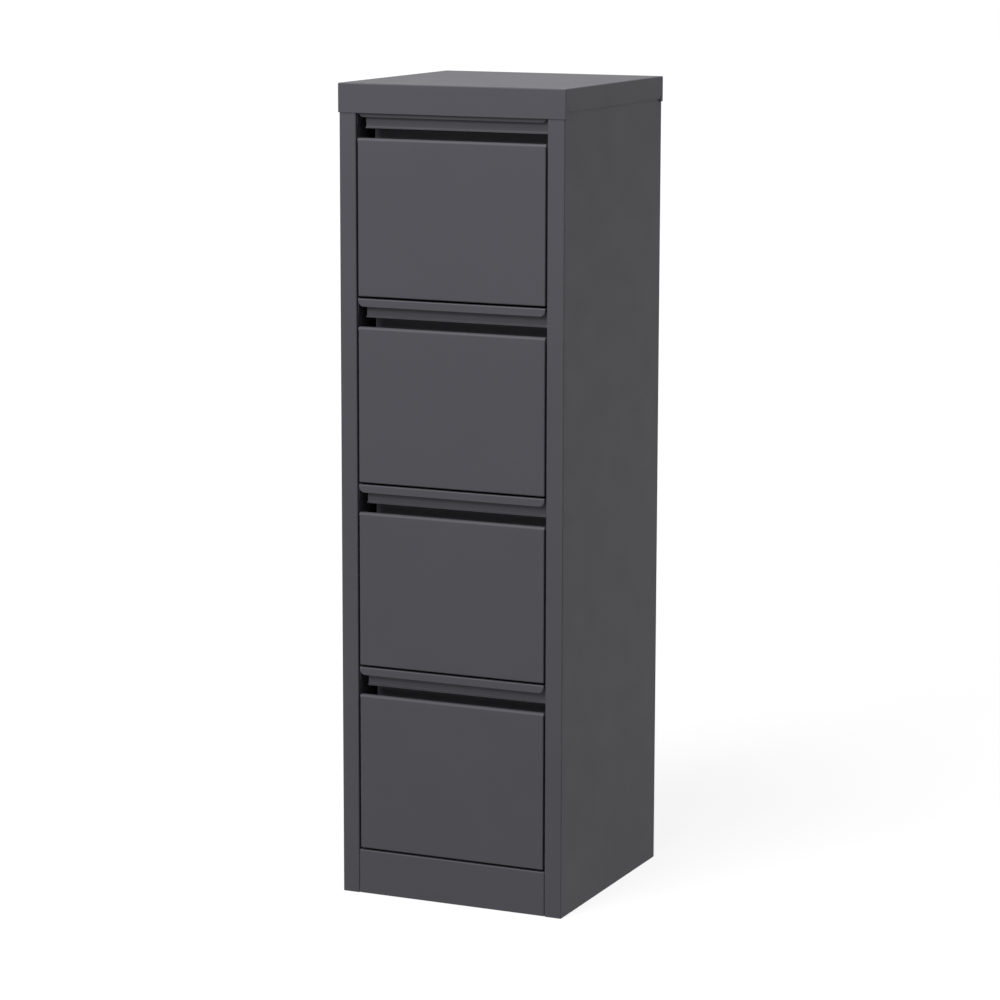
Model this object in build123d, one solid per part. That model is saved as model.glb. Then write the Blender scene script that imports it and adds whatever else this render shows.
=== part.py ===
from build123d import *
import os

# Four-drawer filing cabinet in folded sheet steel, in millimetres.
# X is width, Y is depth with the front at -Y, Z is height.
# The origin is the centre of the footprint, on the floor.

# Overall shape
overall_width = 392.0  # across the top cap
overall_depth = 404.0  # across the top cap
drawer_count = 4
bay_pitch = 300.0  # height from one cross rail to the next
bottom_bay = 305.5  # from the plinth's top to the lowest cross rail's top
plinth_height = 74.0
ground_gap = 1.0  # the panels' lower edges stand this far off the floor

# Sheet metal
sheet = 0.8
bend = 2.0  # outside radius of a fold

# Top cap: a tray turned upside down over the carcass
cap_front_fit = 0.2  # fascia to front posts
cap_side_fit = 1.2  # side flanges to side panels
cap_rear_fit = 1.2  # rear flange to back panel
fascia_height = 46.5
cap_side_flange = 36.0
cap_rear_flange = 41.0
cap_front_ear = 9.0  # length of the fascia's return round each front corner
cap_rear_ear = 13.0
relief_width = 1.2  # slit between an ear and the side flange
relief_rise = 4.0  # how far the slit reaches above the side flange's edge

# Side panels, each folded into a box-shaped post at the front
post_width = 29.0
post_seam = 2.0  # gap left where the post's last fold meets the side wall
rear_flange = 16.0
top_flange = 15.0

# Cross rails, one above each drawer
rail_lip = 12.5  # height of the front lip
rail_lip_corner = 9.5
rail_depth = 10.0  # from the front plane back to the rear flange
rail_drop = 30.0  # height of the rear flange
rail_flange_notch = 14.0  # from the left post to the end of the rear flange
rail_flange_gap = 1.5  # from the right post to the end of the rear flange
rail_roll = 3.5  # forward roll along the rear flange's lower edge
rail_roll_bend = 3.8
rail_notch = 6.0  # the web is cut back this far beside the lip
rail_tab_reach = 20.0  # the end tabs run this far behind the rear flange
rail_tab_height = 24.0
rail_cover = 6.0  # how far the fascia hangs over the top rail
top_rail_setback = 4.0  # the top rail's lip stands this far behind the posts' faces

# Drawer fronts
finger_gap = 33.0  # from the rail's lip down to the drawer front
front_gap = 3.5  # under each drawer front
drawer_side_gap = 3.0
front_depth = 30.0  # the front and its liner make a box this deep
grip_depth = 10.0  # top fold that the fingers pull on
grip_bend = 4.5  # its outside bend along the front edge
grip_return = 8.0  # its turned-down edge
grip_end_clip = 6.0  # the turned-down edge stops this far from the ends
grip_end_step = 3.0  # and the fold is this much shallower there
liner_flange = 3.2  # turned edge of the liner
liner_fit = 0.1

# Drawer trays and backs
rim_drop = 14.0  # tray rim below the top of the front
floor_clearance = 4.5  # tray floor above the rail below
tray_rear_clearance = 18.2  # tray's rear end to the back panel
tray_hem = 8.0
tray_front_flange = 12.0
tray_flange_relief = 10.0  # the front flanges stop this far below the rim
back_flange = 8.0
back_fit = 0.2

# File rails, flat bars that hanging files hook over
file_rail_inset = 11.0  # from the tray's ends
file_rail_height = 38.0
file_rail_rise = 26.0  # its top edge above the tray rim
file_rail_thickness = 2.0
file_rail_end_gap = 0.8  # beside the hems
file_rail_lug_length = 12.0
file_rail_lug_width = 6.0
file_rail_lug_thickness = 1.5

# Three-member telescopic slides
slide_width = 12.7  # between the post and the tray
slide_height = 45.0
slide_sheet = 1.2
slide_rise = 90.0  # slide's centre line above the tray floor
slide_front_gap = 3.0  # behind the drawer front's box
slide_rear_gap = 29.2  # in front of the back panel
slide_web_gap = 1.8  # between the cabinet and middle members' webs
slide_flange_gap = 0.8  # drawer member's flanges to the middle member's web
cabinet_flange = 10.6
middle_flange = 8.4
slide_screw_inset = 14.0
slide_access_hole = 10.5  # in the middle member, to reach the cabinet member's screws

# Ball strips between the slide members
ball_diameter = 4.5
ball_play = 0.05  # between a ball and each race
ball_hole_play = 0.1
balls_per_strip = 4
strip_length = 140.0
strip_width = 5.6
strip_thickness = 1.0
strip_web_gap = 0.6

# Slide uprights, hat sections on the side walls
upright_width = 40.0
upright_foot = 12.0
upright_setback = 12.0  # in front of the slides' rear ends
upright_head_gap = 1.0

# Base tray, plinth and floor glides
base_return = 34.0
base_fit = 0.5
base_lift = 2.0  # the base's lower flanges above the panels' lower edges
plinth_depth = 30.0
plinth_lap = 10.0  # how far the plinth's shelf lies on the base tray
plinth_fit = 0.3
back_panel_margin = 0.5
back_panel_head_gap = 0.2
glide_diameter = 24.0
glide_edge = 1.0
glide_stem_diameter = 7.8
glide_stem_length = 9.0
glide_hole_play = 0.1
glide_inset = 22.0  # from the base tray's ends

# Fasteners
screw_head_diameter = 7.0
screw_head_height = 1.4
screw_head_round = 0.5
screw_shank_diameter = 4.0
screw_shank_length = 3.5
screw_slot_length = 4.0
screw_slot_width = 0.9
screw_slot_depth = 0.8
rivet_head_diameter = 6.4
rivet_head_height = 1.1
rivet_head_round = 0.8
rivet_shank_diameter = 3.2
rivet_shank_length = 4.0
fastener_play = 0.1  # between a shank and its hole
back_rivets_per_side = 6
back_rivet_end = 60.0  # from the back panel's ends
front_screw_low = 40.0  # above the tray floor
front_screw_high = 60.0  # below the tray rim
drawer_screw_rear_inset = 60.0

# Faces of the carcass
front_plane = -overall_depth / 2 + sheet + cap_front_fit
back_plane = overall_depth / 2 - sheet - cap_rear_fit
carcass_half = overall_width / 2 - sheet - cap_side_fit
wall_inside = carcass_half - sheet
opening_half = carcass_half - post_width
front_half = opening_half - drawer_side_gap
rail_tops = [plinth_height + bottom_bay + bay_pitch * step for step in reversed(range(drawer_count))]
overall_height = rail_tops[0] - rail_cover + fascia_height
carcass_top = overall_height - sheet

# Depths of what stands behind the fronts
front_box_back = front_plane + front_depth
slide_front = front_box_back + slide_front_gap
slide_rear = back_plane - sheet - slide_rear_gap
slide_middle = (slide_front + slide_rear) / 2
slide_front_screw = slide_front + slide_screw_inset
post_back = slide_front_screw + slide_screw_inset
upright_rear = slide_rear - upright_setback
upright_front = upright_rear - upright_width
slide_rear_screw = (upright_front + upright_rear) / 2
tray_rear = back_plane - sheet - tray_rear_clearance
tray_half = opening_half - slide_width
base_front = post_back + base_fit
base_rear = back_plane - sheet - bend - base_fit
base_top = plinth_height - sheet
base_low = ground_gap + base_lift

# Heights of each drawer, from the top one down
front_tops = [top - rail_lip - finger_gap for top in rail_tops]
front_lows = [top + front_gap for top in rail_tops[1:] + [plinth_height]]
tray_height = bay_pitch - rail_lip - finger_gap - rim_drop - floor_clearance
tray_rims = [top - rim_drop for top in front_tops]
tray_floors = [rim - tray_height for rim in tray_rims]
slide_heights = [floor + slide_rise for floor in tray_floors]

# Slide section, as distances in from the post's face and half heights
race_gap = ball_diameter + 2 * ball_play
middle_web = slide_sheet + slide_web_gap
cabinet_half = slide_height / 2
middle_half = cabinet_half - slide_sheet - race_gap
drawer_member_half = middle_half - slide_sheet - race_gap
drawer_member_flange = slide_width - middle_web - slide_sheet - slide_flange_gap
outer_race = (cabinet_half - slide_sheet + middle_half) / 2
inner_race = (middle_half - slide_sheet + drawer_member_half) / 2

# Places of the fasteners, glides and file rails
screw_hole = screw_shank_diameter + 2 * fastener_play
rivet_hole = rivet_shank_diameter + 2 * fastener_play
cabinet_slide_screws = (slide_front_screw, slide_rear_screw)
drawer_slide_screws = (slide_front_screw, slide_rear - drawer_screw_rear_inset)
back_rivet_x = carcass_half - rear_flange / 2
back_rivet_step = (carcass_top - 2 * back_rivet_end) / (back_rivets_per_side - 1)
back_rivet_heights = [back_rivet_end + back_rivet_step * step for step in range(back_rivets_per_side)]
rail_rivet_y = front_plane + rail_depth + rail_tab_reach / 2
rail_rivet_drop = rail_tab_height / 2
plinth_rivet_y = front_plane + plinth_depth / 2
plinth_rivet_z = plinth_height / 2
post_rivets = [(rail_rivet_y, top - rail_rivet_drop) for top in rail_tops]
post_rivets.append((plinth_rivet_y, plinth_rivet_z))
glide_x = wall_inside - base_return / 2
glide_depths = (base_front + glide_inset, base_rear - glide_inset)
glide_places = [(side * glide_x, y) for side in (-1, 1) for y in glide_depths]
file_rail_depths = (front_box_back + file_rail_inset, tray_rear - file_rail_inset)


def block(low, high):
    """Box between two corners."""
    size = [top - bottom for bottom, top in zip(low, high)]
    centre = [(top + bottom) / 2 for bottom, top in zip(low, high)]
    return Pos(*centre) * Box(*size)


def along_x(section, low, high):
    """Extrudes a section drawn in Y and Z."""
    return Plane.YZ.offset(low) * extrude(section, high - low)


def along_y(section, low, high):
    """Extrudes a section drawn in X and Z."""
    return Plane.XZ.offset(-high) * extrude(section, high - low)


def along_z(section, low, high):
    """Extrudes a section drawn in X and Y."""
    return Pos(0, 0, low) * extrude(section, high - low)


def folded(points, thickness=sheet, radii=None):
    """Section of a sheet folded at right angles, lying to the left of the line of points."""
    line = [Vector(*point) for point in points]
    runs = [(second - first).normalized() for first, second in zip(line, line[1:])]
    sides = [Vector(-run.Y, run.X) for run in runs]
    turns = [first.cross(second).Z for first, second in zip(runs, runs[1:])]
    radii = radii or [bend] * len(turns)
    inner = [line[0] + sides[0] * thickness]
    for corner, before, after in zip(line[1:-1], sides, sides[1:]):
        inner.append(corner + (before + after) * thickness)
    inner.append(line[-1] + sides[-1] * thickness)
    line_radii = [r if turn > 0 else r - thickness for turn, r in zip(turns, radii)]
    inner_radii = [r - thickness if turn > 0 else r for turn, r in zip(turns, radii)]
    edges = FilletPolyline(*line, radius=line_radii).edges()
    edges += FilletPolyline(*inner, radius=inner_radii).edges()
    edges += [Edge.make_line(line[0], inner[0]), Edge.make_line(line[-1], inner[-1])]
    return make_face(edges)


def rounded_block(low, high, axis, face, radius):
    """Box with rounded edges round one face and along the four edges behind it."""
    solid = block(low, high)
    edges = solid.faces().sort_by(axis)[face].edges() + solid.edges().filter_by(axis)
    return fillet(edges, radius)


def pan(low, high, axis, face):
    """Folded pan: one closed face (0 is the low end of the axis, -1 the high end) and four flanges."""
    inner_low = [value + sheet for value in low]
    inner_high = [value - sheet for value in high]
    across = [Axis.X, Axis.Y, Axis.Z].index(axis)
    if face == 0:
        inner_high[across] = high[across] + bend
    else:
        inner_low[across] = low[across] - bend
    outside = rounded_block(low, high, axis, face, bend)
    return outside - rounded_block(inner_low, inner_high, axis, face, bend - sheet)


def rod_x(low, high, y, z, diameter):
    """Round bar along X."""
    return Pos((low + high) / 2, y, z) * Rot(0, 90, 0) * Cylinder(diameter / 2, high - low)


def rod_y(low, high, x, z, diameter):
    """Round bar along Y."""
    return Pos(x, (low + high) / 2, z) * Rot(90, 0, 0) * Cylinder(diameter / 2, high - low)


def other_side(shape):
    """The same piece for the other side of the cabinet."""
    return mirror(shape, about=Plane.YZ)


def save(name, *solids):
    """Writes one node, as a single piece or a group of like pieces."""
    shape = solids[0] if len(solids) == 1 else Compound(children=list(solids))
    export_step(shape, f"parts/{name}.step")


def side_panel():
    """Right side wall, folded round into the front post, with flanges at the rear and the top."""
    rear_face = back_plane - sheet
    plan = folded(
        [
            (wall_inside - post_seam, post_back),
            (opening_half, post_back),
            (opening_half, front_plane),
            (carcass_half, front_plane),
            (carcass_half, rear_face),
            (carcass_half - rear_flange, rear_face),
        ]
    )
    panel = along_z(plan, ground_gap, carcass_top)
    panel += block(
        (wall_inside - top_flange, post_back + post_seam, carcass_top - sheet),
        (wall_inside, rear_face - sheet - post_seam, carcass_top),
    )
    panel -= block(
        (opening_half - sheet, front_plane - sheet, carcass_top - bend),
        (carcass_half + sheet, post_back + sheet, carcass_top + sheet),
    )
    for z in slide_heights:
        panel -= rod_x(opening_half - sheet, opening_half + 2 * sheet, slide_front_screw, z, screw_hole)
    for y, z in post_rivets:
        panel -= rod_x(opening_half - sheet, opening_half + 2 * sheet, y, z, rivet_hole)
    for z in back_rivet_heights:
        panel -= rod_y(rear_face - 2 * sheet, rear_face + sheet, back_rivet_x, z, rivet_hole)
    return panel


def back_panel():
    """Flat sheet riveted over the side panels' rear flanges."""
    half = carcass_half - back_panel_margin
    panel = block(
        (-half, back_plane - sheet, ground_gap),
        (half, back_plane, carcass_top - back_panel_head_gap),
    )
    for z in back_rivet_heights:
        for x in (-back_rivet_x, back_rivet_x):
            panel -= rod_y(back_plane - 2 * sheet, back_plane + sheet, x, z, rivet_hole)
    return panel


def top_cap():
    """Tray over the carcass: deep fascia, shorter side flanges, and ears round the corners."""
    half_width = overall_width / 2
    half_depth = overall_depth / 2
    fascia_low = overall_height - fascia_height
    side_low = overall_height - cap_side_flange
    rear_low = overall_height - cap_rear_flange
    cap = pan(
        (-half_width, -half_depth, fascia_low), (half_width, half_depth, overall_height), Axis.Z, -1
    )
    front_ear = -half_depth + cap_front_ear
    rear_ear = half_depth - cap_rear_ear
    wide = half_width + sheet
    below = fascia_low - sheet
    cap -= block((-wide, front_ear, below), (wide, rear_ear, side_low))
    cap -= block((-wide, rear_ear, below), (wide, half_depth + sheet, rear_low))
    slit_top = side_low + relief_rise
    cap -= block((-wide, front_ear - relief_width, below), (wide, front_ear, slit_top))
    cap -= block((-wide, rear_ear, below), (wide, rear_ear + relief_width, slit_top))
    return cap


def base_tray():
    """Floor of the carcass: a plate with deep sides turned in at the bottom for the glides."""
    inner = wall_inside - base_return
    section = folded(
        [
            (inner, base_low),
            (wall_inside, base_low),
            (wall_inside, base_top),
            (-wall_inside, base_top),
            (-wall_inside, base_low),
            (-inner, base_low),
        ]
    )
    tray = along_y(section, base_front, base_rear)
    hole = glide_stem_diameter + 2 * glide_hole_play
    for x, y in glide_places:
        tray -= Pos(x, y, base_low + sheet / 2) * Cylinder(hole / 2, 4 * sheet)
    return tray


def floor_glide(x, y):
    """Nylon glide: a round foot with a stem pushed into the base tray."""
    foot = Pos(0, 0, base_low / 2) * Cylinder(glide_diameter / 2, base_low)
    foot = fillet(foot.edges().group_by(Axis.Z)[0], glide_edge)
    stem = Pos(0, 0, base_low + glide_stem_length / 2)
    return Pos(x, y, 0) * (foot + stem * Cylinder(glide_stem_diameter / 2, glide_stem_length))


def plinth_panel():
    """Pan between the posts, whose top runs back as a shelf onto the base tray."""
    half = opening_half - plinth_fit
    plinth_back = front_plane + plinth_depth
    panel = pan((-half, front_plane, ground_gap), (half, plinth_back, plinth_height), Axis.Y, 0)
    panel += block(
        (-half + bend, plinth_back - bend, base_top),
        (half - bend, base_front + plinth_lap, plinth_height),
    )
    for side in (-1, 1):
        ends = sorted((side * (half - 2 * sheet), side * (half + sheet)))
        panel -= rod_x(*ends, plinth_rivet_y, plinth_rivet_z, rivet_hole)
    return panel


def slide_upright():
    """Right hat section that carries the slides' rear ends, standing on the base tray."""
    plan = folded(
        [
            (wall_inside, upright_rear + upright_foot),
            (wall_inside, upright_rear - sheet),
            (opening_half + sheet, upright_rear - sheet),
            (opening_half + sheet, upright_front + sheet),
            (wall_inside, upright_front + sheet),
            (wall_inside, upright_front - upright_foot),
        ][::-1]
    )
    upright = along_z(plan, base_top, carcass_top - sheet - upright_head_gap)
    for z in slide_heights:
        upright -= rod_x(opening_half - sheet, opening_half + 2 * sheet, slide_rear_screw, z, screw_hole)
    return upright


def cross_rail(top, lip_face):
    """Inverted channel between the posts: front lip, web, rear flange with a rolled edge, end tabs."""
    flange_back = front_plane + rail_depth + sheet
    flange_low = top - rail_drop
    roll_front = front_plane + rail_depth - rail_roll
    section = folded(
        [
            (roll_front, flange_low),
            (flange_back, flange_low),
            (flange_back, top),
            (lip_face, top),
            (lip_face, top - rail_lip),
        ],
        radii=[rail_roll_bend, bend, bend],
    )
    rail = along_x(section, -opening_half, opening_half)
    below = flange_low - sheet
    notch_back = max(front_plane + rail_notch, lip_face + bend)
    for side, margin in ((-1, rail_flange_notch), (1, rail_flange_gap)):
        lip_end = sorted((side * front_half, side * (opening_half + sheet)))
        rail -= block(
            (lip_end[0], lip_face - sheet, below),
            (lip_end[1], notch_back, top + sheet),
        )
        flange_end = sorted((side * (opening_half - margin), side * (opening_half + sheet)))
        rail -= block(
            (flange_end[0], roll_front - sheet, below),
            (flange_end[1], flange_back + sheet, top - bend),
        )
        corner = sorted((side * (front_half - rail_lip_corner), side * (front_half + sheet)))
        rounding = block(
            (corner[0], lip_face - sheet, top - rail_lip - sheet),
            (corner[1], lip_face + 2 * sheet, top - rail_lip + rail_lip_corner),
        )
        rounding -= rod_y(
            lip_face - 2 * sheet,
            lip_face + 3 * sheet,
            side * (front_half - rail_lip_corner),
            top - rail_lip + rail_lip_corner,
            2 * rail_lip_corner,
        )
        rail -= rounding
        tab = sorted((side * (opening_half - sheet), side * opening_half))
        rail += block(
            (tab[0], notch_back, top - rail_tab_height),
            (tab[1], front_plane + rail_depth + rail_tab_reach, top),
        )
        hole = sorted((side * (opening_half - 2 * sheet), side * (opening_half + sheet)))
        rail -= rod_x(*hole, rail_rivet_y, top - rail_rivet_drop, rivet_hole)
    return rail


def channel(web, flange_end, half, height):
    """Right slide member: a channel from its web's outer face to its flange ends, both given as X."""
    points = [(flange_end, -half), (web, -half), (web, half), (flange_end, half)]
    if flange_end > web:
        points.reverse()
    section = folded(points, slide_sheet, [bend, bend])
    return Pos(0, 0, height) * along_y(section, slide_front, slide_rear)


def cabinet_slide(height):
    """Outer slide member, screwed to the post and the upright."""
    member = channel(opening_half, opening_half - cabinet_flange, cabinet_half, height)
    for y in cabinet_slide_screws:
        member -= rod_x(opening_half - 2 * slide_sheet, opening_half + slide_sheet, y, height, screw_hole)
    return member


def middle_slide(height):
    """Middle slide member, which runs between the other two."""
    web = opening_half - middle_web
    member = channel(web, web - middle_flange, middle_half, height)
    for y in cabinet_slide_screws:
        member -= rod_x(web - 2 * slide_sheet, web + slide_sheet, y, height, slide_access_hole)
    return member


def drawer_slide(height):
    """Inner slide member, screwed to the tray's side."""
    member = channel(tray_half, tray_half + drawer_member_flange, drawer_member_half, height)
    for y in drawer_slide_screws:
        member -= rod_x(tray_half - slide_sheet, tray_half + 2 * slide_sheet, y, height, screw_hole)
    return member


def ball_strips(web_face, race_centre, height):
    """Upper and lower ball strips of one race pair on the right: each a retainer and its balls."""
    strip_out = web_face - strip_web_gap
    ball_x = strip_out - strip_width / 2
    pitch = strip_length / balls_per_strip
    first = slide_middle - strip_length / 2 + pitch / 2
    pieces = []
    for z in (height - race_centre, height + race_centre):
        strip = block(
            (strip_out - strip_width, slide_middle - strip_length / 2, z - strip_thickness / 2),
            (strip_out, slide_middle + strip_length / 2, z + strip_thickness / 2),
        )
        for step in range(balls_per_strip):
            centre = Pos(ball_x, first + pitch * step, z)
            strip -= centre * Cylinder(ball_diameter / 2 + ball_hole_play, 2 * strip_thickness)
            pieces.append(centre * Sphere(ball_diameter / 2))
        pieces.append(strip)
    return pieces


def drawer_front(low, top):
    """Pan that is the drawer's face, with a rounded grip folded along the top to hook the fingers over."""
    grip_low = top - grip_bend - sheet
    grip_back = front_plane + grip_depth
    grip_end_back = grip_back - grip_end_step
    wide = front_half + sheet
    front = pan((-front_half, front_plane, low), (front_half, front_box_back, top + 2 * bend), Axis.Y, 0)
    front -= block((-wide, front_plane - sheet, grip_low), (wide, front_box_back + sheet, top + 3 * bend))
    front -= block((-wide, grip_end_back, top - rim_drop), (wide, front_box_back + sheet, top))
    section = folded(
        [
            (grip_back, top - grip_return),
            (grip_back, top),
            (front_plane, top),
            (front_plane, grip_low),
        ],
        radii=[bend, grip_bend],
    )
    grip = along_x(section, -front_half, front_half)
    for side in (-1, 1):
        clip = sorted((side * (front_half - grip_end_clip), side * wide))
        grip -= block(
            (clip[0], grip_end_back, top - grip_return - sheet),
            (clip[1], grip_back + sheet, top + sheet),
        )
    return front + grip


def front_liner(low, rim, floor):
    """Inner wall behind the drawer front, flanged forwards on three sides to nest in its pan."""
    half = front_half - sheet - liner_fit
    liner_low = low + sheet + liner_fit
    liner = pan(
        (-half, front_box_back - liner_flange, liner_low),
        (half, front_box_back, rim + 2 * bend),
        Axis.Y,
        -1,
    )
    wide = half + sheet
    liner -= block(
        (-wide, front_box_back - liner_flange - sheet, rim),
        (wide, front_box_back + sheet, rim + 3 * bend),
    )
    for x, z in front_screw_places(floor, rim):
        liner -= rod_y(front_box_back - 2 * sheet, front_box_back + sheet, x, z, screw_hole)
    return liner


def front_screw_places(floor, rim):
    """X and Z of the screws that hold the tray to the drawer front."""
    x = tray_half - sheet - tray_front_flange / 2
    heights = (floor + front_screw_low, rim - front_screw_high)
    return [(side * x, z) for side in (-1, 1) for z in heights]


def drawer_tray(floor, rim, height):
    """Floor and sides folded from one sheet, with hems along the rims and flanges at the front."""
    section = folded(
        [
            (-tray_half + tray_hem, rim),
            (-tray_half, rim),
            (-tray_half, floor),
            (tray_half, floor),
            (tray_half, rim),
            (tray_half - tray_hem, rim),
        ]
    )
    tray = along_y(section, front_box_back, tray_rear)
    for side in (-1, 1):
        flange = sorted((side * (tray_half - sheet - tray_front_flange), side * (tray_half - sheet)))
        tray += block(
            (flange[0], front_box_back, floor + bend),
            (flange[1], front_box_back + sheet, rim - tray_flange_relief),
        )
        wall = sorted((side * (tray_half - 2 * sheet), side * (tray_half + sheet)))
        for y in drawer_slide_screws:
            tray -= rod_x(*wall, y, height, screw_hole)
    for x, z in front_screw_places(floor, rim):
        tray -= rod_y(front_box_back - sheet, front_box_back + 2 * sheet, x, z, screw_hole)
    return tray


def drawer_back(floor, rim):
    """Pan that closes the tray's rear end, under the hems."""
    half = tray_half - sheet - back_fit
    return pan(
        (-half, tray_rear - back_flange, floor + sheet + back_fit),
        (half, tray_rear, rim - sheet - back_fit),
        Axis.Y,
        -1,
    )


def file_rail(y, rim):
    """Flat bar across the tray, standing on the hems, with a lug at each end to steady it."""
    low_half = tray_half - tray_hem - file_rail_end_gap
    top_half = tray_half - bend
    top = rim + file_rail_rise
    front = y - file_rail_thickness / 2
    back = y + file_rail_thickness / 2
    rail = block((-low_half, front, top - file_rail_height), (low_half, back, top))
    rail += block((-top_half, front, rim), (top_half, back, top))
    lug_half = file_rail_lug_width / 2
    lug_top = rim + file_rail_lug_thickness
    for side in (-1, 1):
        ends = sorted((side * (top_half - file_rail_lug_length), side * top_half))
        rail += block((ends[0], y - lug_half, rim), (ends[1], y + lug_half, lug_top))
    return rail


def screw():
    """Pan-head screw along Z with its seat at the origin and a cross slot in the head."""
    head = Pos(0, 0, screw_head_height / 2) * Cylinder(screw_head_diameter / 2, screw_head_height)
    head = fillet(head.edges().group_by(Axis.Z)[-1], screw_head_round)
    shank = Pos(0, 0, -screw_shank_length / 2)
    body = head + shank * Cylinder(screw_shank_diameter / 2, screw_shank_length)
    slot = Pos(0, 0, screw_head_height - screw_slot_depth / 2)
    body -= slot * Box(screw_slot_length, screw_slot_width, screw_slot_depth)
    return body - slot * Box(screw_slot_width, screw_slot_length, screw_slot_depth)


def rivet():
    """Blind rivet along Z with its seat at the origin."""
    head = Pos(0, 0, rivet_head_height / 2) * Cylinder(rivet_head_diameter / 2, rivet_head_height)
    head = fillet(head.edges().group_by(Axis.Z)[-1], rivet_head_round)
    shank = Pos(0, 0, -rivet_shank_length / 2)
    return head + shank * Cylinder(rivet_shank_diameter / 2, rivet_shank_length)


face_left = Rot(0, -90, 0)
face_right = Rot(0, 90, 0)
face_rear = Rot(-90, 0, 0)

os.makedirs("parts", exist_ok=True)

# Carcass
right_panel = side_panel()
save("right_side_panel", right_panel)
save("left_side_panel", other_side(right_panel))
save("back_panel", back_panel())
save("top_cap", top_cap())
save("base_tray", base_tray())
save("plinth_panel", plinth_panel())
right_upright = slide_upright()
save("right_slide_upright", right_upright)
save("left_slide_upright", other_side(right_upright))
save("floor_glides", *[floor_glide(x, y) for x, y in glide_places])

# Rivets: post rivets have their heads inside the opening, back rivets have theirs on the back
one_rivet = rivet()
rivet_seats = [opening_half - sheet] * drawer_count + [opening_half - plinth_fit - sheet]
rivets = []
for seat, (y, z) in zip(rivet_seats, post_rivets):
    rivets += [Pos(seat, y, z) * face_left * one_rivet, Pos(-seat, y, z) * face_right * one_rivet]
for z in back_rivet_heights:
    rivets += [Pos(side * back_rivet_x, back_plane, z) * face_rear * one_rivet for side in (-1, 1)]
save("rivets", *rivets)

# Screws that hold the cabinet slides, with their heads inside the channels
one_screw = screw()
cabinet_screw_seat = opening_half - slide_sheet
slide_screws = []
for z in slide_heights:
    for y in cabinet_slide_screws:
        slide_screws.append(Pos(cabinet_screw_seat, y, z) * face_left * one_screw)
        slide_screws.append(Pos(-cabinet_screw_seat, y, z) * face_right * one_screw)
save("slide_screws", *slide_screws)

# Bays, from the top one down: rail, slides and drawer
for bay in range(drawer_count):
    number = bay + 1
    low, top = front_lows[bay], front_tops[bay]
    floor, rim = tray_floors[bay], tray_rims[bay]
    height = slide_heights[bay]
    lip_face = front_plane + (top_rail_setback if bay == 0 else 0)
    save(f"cross_rail_{number}", cross_rail(rail_tops[bay], lip_face))

    outer = cabinet_slide(height)
    save(f"drawer_{number}_cabinet_slides", outer, other_side(outer))
    middle = middle_slide(height)
    save(f"drawer_{number}_middle_slides", middle, other_side(middle))
    inner = drawer_slide(height)
    save(f"drawer_{number}_drawer_slides", inner, other_side(inner))
    outer_balls = ball_strips(opening_half - middle_web, outer_race, height)
    save(f"drawer_{number}_outer_ball_strips", *outer_balls, *map(other_side, outer_balls))
    inner_balls = ball_strips(opening_half - middle_web - slide_sheet, inner_race, height)
    save(f"drawer_{number}_inner_ball_strips", *inner_balls, *map(other_side, inner_balls))

    save(f"drawer_{number}_front", drawer_front(low, top))
    save(f"drawer_{number}_front_liner", front_liner(low, rim, floor))
    save(f"drawer_{number}_tray", drawer_tray(floor, rim, height))
    save(f"drawer_{number}_back", drawer_back(floor, rim))
    save(f"drawer_{number}_file_rails", *[file_rail(y, rim) for y in file_rail_depths])

    screws = []
    for x, z in front_screw_places(floor, rim):
        screws.append(Pos(x, front_box_back + sheet, z) * face_rear * one_screw)
    for y in drawer_slide_screws:
        screws.append(Pos(tray_half + slide_sheet, y, height) * face_right * one_screw)
        screws.append(Pos(-tray_half - slide_sheet, y, height) * face_left * one_screw)
    save(f"drawer_{number}_screws", *screws)
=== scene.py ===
import math

import bpy
from mathutils import Matrix, Vector

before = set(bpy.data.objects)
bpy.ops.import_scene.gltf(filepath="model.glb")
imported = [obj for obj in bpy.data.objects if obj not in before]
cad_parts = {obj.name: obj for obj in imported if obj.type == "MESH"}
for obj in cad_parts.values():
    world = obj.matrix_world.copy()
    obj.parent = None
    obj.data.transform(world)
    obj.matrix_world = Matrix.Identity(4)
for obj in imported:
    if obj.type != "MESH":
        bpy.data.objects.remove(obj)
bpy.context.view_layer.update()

# Carcass: side panels with box posts, back panel, top cap, base tray, plinth and slide uprights.
# Each is folded from 0.8 mm cold-rolled steel sheet. The panels, cap, base and uprights are spot
# welded, the back and plinth are riveted on, and all of it is powder coated as one body.
millimetre = 0.001


def linear(hex_colour):
    """Scene-linear RGBA of an sRGB hex colour."""
    channels = [int(hex_colour[place:place + 2], 16) / 255 for place in (1, 3, 5)]
    return [c / 12.92 if c <= 0.04045 else ((c + 0.055) / 1.055) ** 2.4 for c in channels] + [1.0]


def add_node(tree, kind, inputs=None, **settings):
    """Adds a shader node, with its settings and with each input set to a value or linked to a socket."""
    node = tree.nodes.new("ShaderNode" + kind)
    for name, value in settings.items():
        setattr(node, name, value)
    for name, value in (inputs or {}).items():
        if isinstance(value, bpy.types.NodeSocket):
            tree.links.new(value, node.inputs[name])
        else:
            node.inputs[name].default_value = value
    return node


def per_metre(millimetres):
    """Texture scale, in repeats to the metre, of a pattern with this spacing."""
    return 1000 / millimetres


def new_material(name):
    """An empty node material, with its tree and the object coordinates in it."""
    material = bpy.data.materials.new(name)
    material.use_nodes = True
    tree = material.node_tree
    tree.nodes.clear()
    place = add_node(tree, "TexCoord").outputs["Object"]
    return material, tree, place


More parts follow.
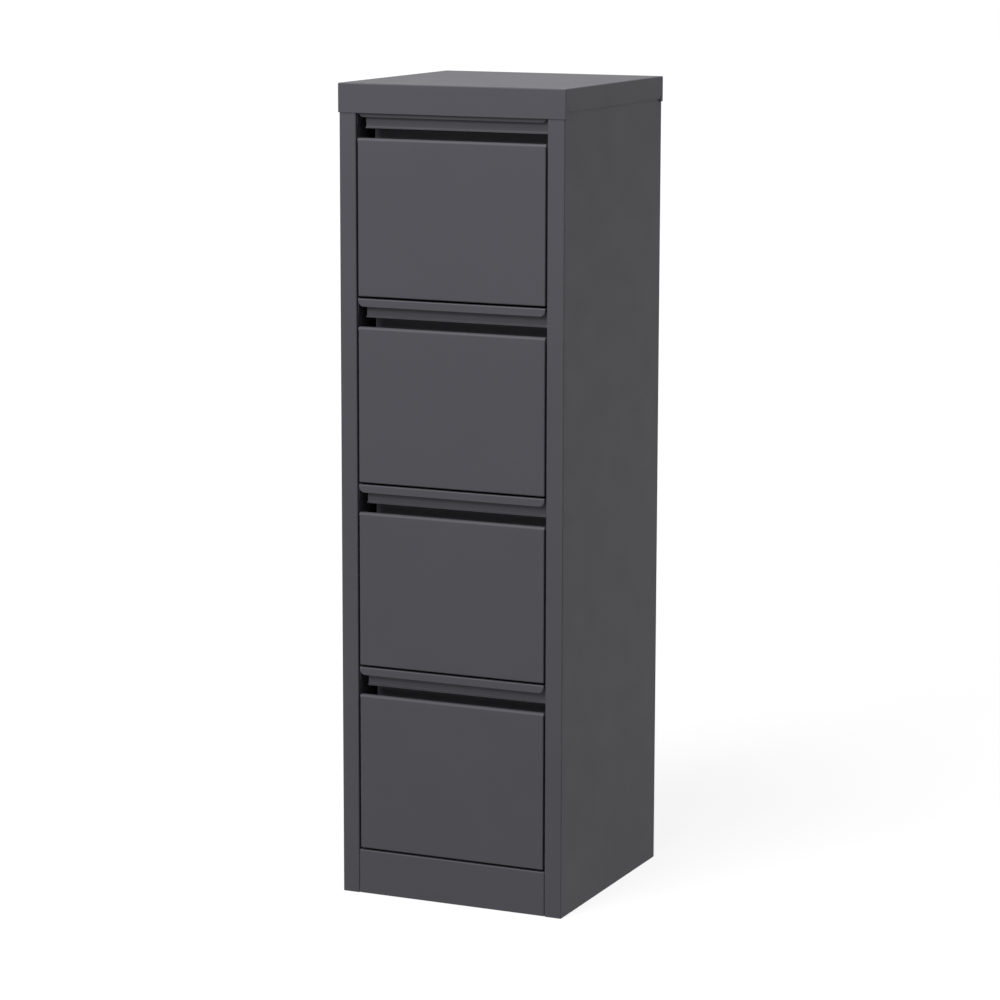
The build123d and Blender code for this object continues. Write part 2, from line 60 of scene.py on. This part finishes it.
def satin_powder_coat():
    """Polyester powder baked on steel: an even satin skin with a shallow orange peel and faint clouding."""
    material, tree, place = new_material("satin_powder_coat_on_sheet_steel")
    clouds = add_node(tree, "TexNoise", {"Vector": place, "Scale": per_metre(140), "Detail": 3})
    shade = add_node(tree, "MixRGB", {"Fac": clouds.outputs["Fac"],
                                      "Color1": linear("#4a4950"), "Color2": linear("#504f56")})
    sheen = add_node(tree, "TexNoise", {"Vector": place, "Scale": per_metre(60), "Detail": 4})
    rough = add_node(tree, "MapRange", {"Value": sheen.outputs["Fac"], "To Min": 0.54, "To Max": 0.62})
    # The real peel repeats every 1 to 2 mm; it is drawn at 3 mm so that it shows.
    peel = add_node(tree, "TexNoise", {"Vector": place, "Scale": per_metre(3), "Detail": 2})
    skin = add_node(tree, "Bump", {"Height": peel.outputs["Fac"], "Strength": 0.12,
                                   "Distance": 0.2 * millimetre})
    coat = add_node(tree, "BsdfPrincipled", {"Base Color": shade.outputs["Color"],
                                             "Roughness": rough.outputs["Result"],
                                             "Specular IOR Level": 0.4,
                                             "Normal": skin.outputs["Normal"]})
    add_node(tree, "OutputMaterial", {"Surface": coat.outputs["BSDF"]})
    return material


def dress(material, names):
    """Gives the named nodes one finish."""
    for name in names:
        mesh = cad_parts[name].data
        mesh.materials.clear()
        mesh.materials.append(material)


powder_coat = satin_powder_coat()
dress(powder_coat, ["left_side_panel", "right_side_panel", "back_panel", "top_cap"])
dress(powder_coat, ["base_tray", "plinth_panel", "left_slide_upright", "right_slide_upright"])

# Cross rails: one folded channel above each drawer, with a rounded lip at the front and a
# rolled edge on its rear flange. Each is riveted to the posts through end tabs, and coated
# with the same powder as the carcass.
drawer_numbers = range(1, 5)
dress(powder_coat, [f"cross_rail_{number}" for number in drawer_numbers])

# Floor glides: four round feet pushed into the base tray from below.
# They are injection moulded in black nylon, which leaves a fine spark-eroded grain on the
# foot and a duller, scuffed bottom.


def moulded_nylon():
    """Black nylon from an eroded mould: dark, slightly waxy, with a fine grain."""
    material, tree, place = new_material("injection_moulded_black_nylon")
    wax = add_node(tree, "TexNoise", {"Vector": place, "Scale": per_metre(9), "Detail": 3})
    shade = add_node(tree, "MixRGB", {"Fac": wax.outputs["Fac"],
                                      "Color1": linear("#151516"), "Color2": linear("#222224")})
    rough = add_node(tree, "MapRange", {"Value": wax.outputs["Fac"], "To Min": 0.42, "To Max": 0.62})
    # The real grain is 0.1 mm; it is drawn at 0.8 mm so that it shows.
    grain = add_node(tree, "TexNoise", {"Vector": place, "Scale": per_metre(0.8), "Detail": 2})
    skin = add_node(tree, "Bump", {"Height": grain.outputs["Fac"], "Strength": 0.25,
                                   "Distance": 0.1 * millimetre})
    nylon = add_node(tree, "BsdfPrincipled", {"Base Color": shade.outputs["Color"],
                                              "Roughness": rough.outputs["Result"],
                                              "Normal": skin.outputs["Normal"]})
    add_node(tree, "OutputMaterial", {"Surface": nylon.outputs["BSDF"]})
    return material


dress(moulded_nylon(), ["floor_glides"])

# Rivets and slide screws: blind rivets hold the rails, plinth and back, and are coated over with
# the carcass. Pan-head screws hold the slides to the posts and uprights. They are cold headed,
# tumbled and zinc plated, so they are pale, slightly mottled metal.
dress(powder_coat, ["rivets"])


def tumbled_steel():
    """Plated fastener steel: bright pale metal, mottled by tumbling."""
    material, tree, place = new_material("tumbled_zinc_plated_fastener_steel")
    mottle = add_node(tree, "TexNoise", {"Vector": place, "Scale": per_metre(1.5), "Detail": 4})
    shade = add_node(tree, "MixRGB", {"Fac": mottle.outputs["Fac"],
                                      "Color1": linear("#9a9ca0"), "Color2": linear("#c6c7c9")})
    rough = add_node(tree, "MapRange", {"Value": mottle.outputs["Fac"], "To Min": 0.28, "To Max": 0.46})
    # Tumbling marks are under 0.1 mm; they are drawn at 0.6 mm so that they show.
    marks = add_node(tree, "TexNoise", {"Vector": place, "Scale": per_metre(0.6), "Detail": 2})
    skin = add_node(tree, "Bump", {"Height": marks.outputs["Fac"], "Strength": 0.2,
                                   "Distance": 0.05 * millimetre})
    steel = add_node(tree, "BsdfPrincipled", {"Base Color": shade.outputs["Color"],
                                              "Metallic": 1.0,
                                              "Roughness": rough.outputs["Result"],
                                              "Normal": skin.outputs["Normal"]})
    add_node(tree, "OutputMaterial", {"Surface": steel.outputs["BSDF"]})
    return material


fastener_steel = tumbled_steel()
dress(fastener_steel, ["slide_screws"])

# Telescopic slides: three roll-formed channels on each side of each drawer, with ball strips
# running in the races between them. The strip steel is zinc plated before forming, so it
# shows lengthwise rolling lines and the faint clouds of a blue passivate.


def zinc_plate():
    """Passivated zinc on roll-formed strip: pale blue-grey metal, streaked along the slide."""
    material, tree, place = new_material("blue_passivated_zinc_on_rolled_strip")
    clouds = add_node(tree, "TexNoise", {"Vector": place, "Scale": per_metre(25), "Detail": 3})
    shade = add_node(tree, "MixRGB", {"Fac": clouds.outputs["Fac"],
                                      "Color1": linear("#9fa3aa"), "Color2": linear("#bfc0bd")})
    # Rolling lines are 0.2 mm apart; they are drawn at 1.2 mm and stretched 40 times along the slide.
    stretch = add_node(tree, "Mapping", {"Vector": place, "Scale": (1.0, 1 / 40, 1.0)})
    lines = add_node(tree, "TexNoise", {"Vector": stretch.outputs["Vector"], "Scale": per_metre(1.2),
                                        "Detail": 3})
    rough = add_node(tree, "MapRange", {"Value": lines.outputs["Fac"], "To Min": 0.26, "To Max": 0.48})
    skin = add_node(tree, "Bump", {"Height": lines.outputs["Fac"], "Strength": 0.15,
                                   "Distance": 0.1 * millimetre})
    zinc = add_node(tree, "BsdfPrincipled", {"Base Color": shade.outputs["Color"],
                                             "Metallic": 1.0,
                                             "Roughness": rough.outputs["Result"],
                                             "Normal": skin.outputs["Normal"]})
    add_node(tree, "OutputMaterial", {"Surface": zinc.outputs["BSDF"]})
    return material


zinc_strip = zinc_plate()
for number in drawer_numbers:
    dress(zinc_strip, [f"drawer_{number}_{member}_slides" for member in ("cabinet", "middle", "drawer")])
    dress(zinc_strip, [f"drawer_{number}_{race}_ball_strips" for race in ("outer", "inner")])

# Drawers: a folded front with a liner nested in it, a tray and a back, all in coated sheet.
# Screws through the tray's front flanges hold the front on. The two file rails that stand on
# the tray's hems are flat bar in the same coat.
coated_pieces = ("front", "front_liner", "tray", "back", "file_rails")
for number in drawer_numbers:
    dress(powder_coat, [f"drawer_{number}_{piece}" for piece in coated_pieces])
    dress(fastener_steel, [f"drawer_{number}_screws"])

# Studio: a matt floor that runs out to white, a white surround and two softboxes.
# The floor and the surround are seen as white by the camera and in the coat's sheen, while
# the floor still takes the cabinet's shadow.
floor_half = 30.0
floor_mesh = bpy.data.meshes.new("studio_floor")
floor_corners = [(-floor_half, -floor_half, 0), (floor_half, -floor_half, 0)]
floor_corners += [(floor_half, floor_half, 0), (-floor_half, floor_half, 0)]
floor_mesh.from_pydata(floor_corners, [], [(0, 1, 2, 3)])
floor = bpy.data.objects.new("studio_floor", floor_mesh)
bpy.context.scene.collection.objects.link(floor)


def seen_as_white(tree):
    """1 for rays from the camera, in a sheen or through glass, and 0 for the rest."""
    path = add_node(tree, "LightPath")
    sheen = add_node(tree, "Math", {0: path.outputs["Is Camera Ray"], 1: path.outputs["Is Glossy Ray"]},
                     operation="MAXIMUM")
    seen = add_node(tree, "Math", {0: sheen.outputs["Value"], 1: path.outputs["Is Transmission Ray"]},
                    operation="MAXIMUM")
    return seen.outputs["Value"]


floor_paint, floor_tree, floor_place = new_material("matt_pale_studio_floor")
reach = add_node(floor_tree, "VectorMath", {0: floor_place}, operation="LENGTH")
# The glow rises to full white away from the cabinet, where the softboxes light the floor less.
fade = add_node(floor_tree, "MapRange", {"Value": reach.outputs["Value"], "From Min": 0.8, "From Max": 6.0,
                                         "To Min": 0.88, "To Max": 1.0})
glow = add_node(floor_tree, "Math", {0: fade.outputs["Result"], 1: seen_as_white(floor_tree)},
                operation="MULTIPLY")
matt = add_node(floor_tree, "BsdfPrincipled", {"Base Color": linear("#7a7a7a"),
                                               "Roughness": 1.0,
                                               "Specular IOR Level": 0.0,
                                               "Emission Color": linear("#ffffff"),
                                               "Emission Strength": glow.outputs["Value"]})
add_node(floor_tree, "OutputMaterial", {"Surface": matt.outputs["BSDF"]})
floor_mesh.materials.append(floor_paint)

world = bpy.data.worlds.new("studio_surround")
world.use_nodes = True
bpy.context.scene.world = world
background = world.node_tree.nodes["Background"]
background.inputs["Color"].default_value = linear("#ffffff")
level = add_node(world.node_tree, "MapRange", {"Value": seen_as_white(world.node_tree),
                                               "To Min": 0.185, "To Max": 1.0})
world.node_tree.links.new(level.outputs["Result"], background.inputs["Strength"])

lamp_aim = Vector((0, 0, 0.6))


def softbox(name, place, size, watts):
    """Square area lamp that faces the cabinet."""
    lamp = bpy.data.lights.new(name, "AREA")
    lamp.shape = "SQUARE"
    lamp.size = size
    lamp.energy = watts
    box = bpy.data.objects.new(name, lamp)
    box.location = place
    box.rotation_mode = "QUATERNION"
    box.rotation_quaternion = (lamp_aim - Vector(place)).to_track_quat("-Z", "Y")
    bpy.context.scene.collection.objects.link(box)


softbox("overhead_softbox", place=(-0.3, -1.9, 5.0), size=1.8, watts=136)
softbox("key_softbox", place=(-1.4, -6.0, 5.0), size=2.6, watts=186)

# Camera: a long lens in front of the cabinet, to its right and a little above it.
# Its place, aim and roll come from straight edges of the cabinet in the photograph.
camera_place = Vector((2.3120, -5.1474, 1.6342))
camera_aim = Vector((-0.0044, 0, 0.6335))
camera_roll = math.radians(0.120)
lens = bpy.data.cameras.new("camera")
lens.sensor_width = 36
lens.lens = 125.80
camera = bpy.data.objects.new("camera", lens)
look = (camera_aim - camera_place).to_track_quat("-Z", "Y").to_matrix().to_4x4()
camera.matrix_world = Matrix.Translation(camera_place) @ look @ Matrix.Rotation(camera_roll, 4, "Z")
bpy.context.scene.collection.objects.link(camera)
bpy.context.scene.camera = camera
bpy.context.scene.view_settings.view_transform = "Standard"
